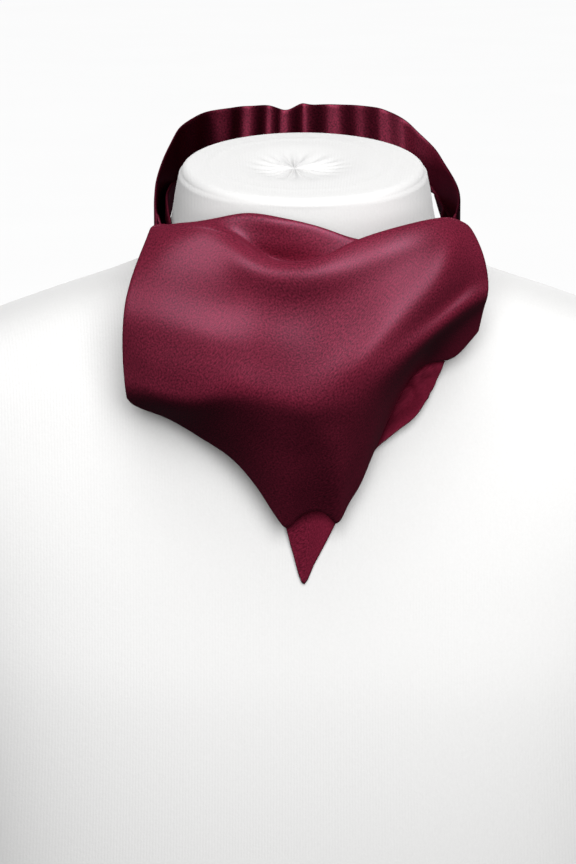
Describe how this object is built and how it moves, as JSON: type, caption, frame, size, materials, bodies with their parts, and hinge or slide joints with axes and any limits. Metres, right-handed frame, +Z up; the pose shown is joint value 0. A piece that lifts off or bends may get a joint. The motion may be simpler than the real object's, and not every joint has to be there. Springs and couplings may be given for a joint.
{
  "type": "silk cravat on a limbless dress form",
  "caption": "Satin day cravat worn high on a limbless dress form: a folded neckband, crossed pleated stems, a full top blade falling over the stem, and an under blade ending in a point.",
  "frame": {"origin": "on the table, under the middle of the whole part", "axes": "+Z up, the cravat faces -Y, +X to the wearer's left"},
  "size_m": [0.4294, 0.2347, 0.4223],
  "materials": {
    "silk": "burgundy silk satin",
    "jersey": "white knitted jersey over a firm form"
  },
  "bodies": {
    "root": {"display_form": "jersey", "neckband_right": "silk", "pleated_stem_right": "silk", "neckband_left": "silk", "pleated_stem_left": "silk", "top_blade": "silk", "under_blade": "silk"}
  },
  "joints": []
}
